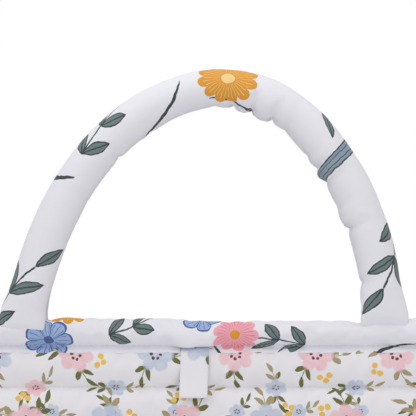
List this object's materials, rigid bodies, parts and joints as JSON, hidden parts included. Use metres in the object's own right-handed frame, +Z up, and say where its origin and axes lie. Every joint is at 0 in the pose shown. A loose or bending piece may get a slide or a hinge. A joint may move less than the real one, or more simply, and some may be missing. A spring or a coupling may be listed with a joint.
{
  "type": "fabric storage basket",
  "caption": "Soft quilted storage basket with a padded rim, a stuffed arch handle on each long side and a small sewn tab.",
  "frame": {"origin": "on the floor under the middle of the base", "axes": "+Z up, +X to the right along the front wall, -Y out of the front wall"},
  "size_m": [0.325, 0.2514, 0.3871],
  "materials": {
    "small_print_cotton": "white cotton with a small floral print",
    "large_print_cotton": "white cotton with a large botanical print",
    "wadding": "loose polyester wadding",
    "base_board": "plain stiff sheet"
  },
  "bodies": {
    "basket": {"outer_front_panel": "small_print_cotton", "front_wall_batting": "wadding", "lining_front_panel": "large_print_cotton", "rim_front_cover": "large_print_cotton", "rim_front_filler": "wadding", "outer_right_panel": "small_print_cotton", "right_wall_batting": "wadding", "lining_right_panel": "large_print_cotton", "rim_right_cover": "large_print_cotton", "rim_right_filler": "wadding", "outer_back_panel": "small_print_cotton", "back_wall_batting": "wadding", "lining_back_panel": "large_print_cotton", "rim_back_cover": "large_print_cotton", "rim_back_filler": "wadding", "outer_left_panel": "small_print_cotton", "left_wall_batting": "wadding", "lining_left_panel": "large_print_cotton", "rim_left_cover": "large_print_cotton", "rim_left_filler": "wadding", "outer_base_panel": "small_print_cotton", "base_board": "base_board", "base_batting": "wadding", "lining_base_panel": "large_print_cotton", "front_handle_left_end": "large_print_cotton", "front_handle_right_end": "large_print_cotton", "rear_handle_left_end": "large_print_cotton", "rear_handle_right_end": "large_print_cotton"},
    "front_handle": {"front_handle_cover": "large_print_cotton", "front_handle_stuffing": "wadding"},
    "rear_handle": {"rear_handle_cover": "large_print_cotton", "rear_handle_stuffing": "wadding"},
    "tab": {"front_tab": "small_print_cotton"}
  },
  "joints": [
    {"name": "front_handle_swing", "type": "hinge", "parent": "basket", "child": "front_handle", "pos_m": [0, -0.114, 0.2399], "axis": [1, 0, 0], "range_deg": [-48, 95]},
    {"name": "rear_handle_swing", "type": "hinge", "parent": "basket", "child": "rear_handle", "pos_m": [0, 0.114, 0.2399], "axis": [-1, 0, 0], "range_deg": [-48, 95]},
    {"name": "tab_lift", "type": "hinge", "parent": "basket", "child": "tab", "pos_m": [-0.0063, -0.1211, 0.2125], "axis": [-1, 0, 0], "range_deg": [0, 150]}
  ]
}
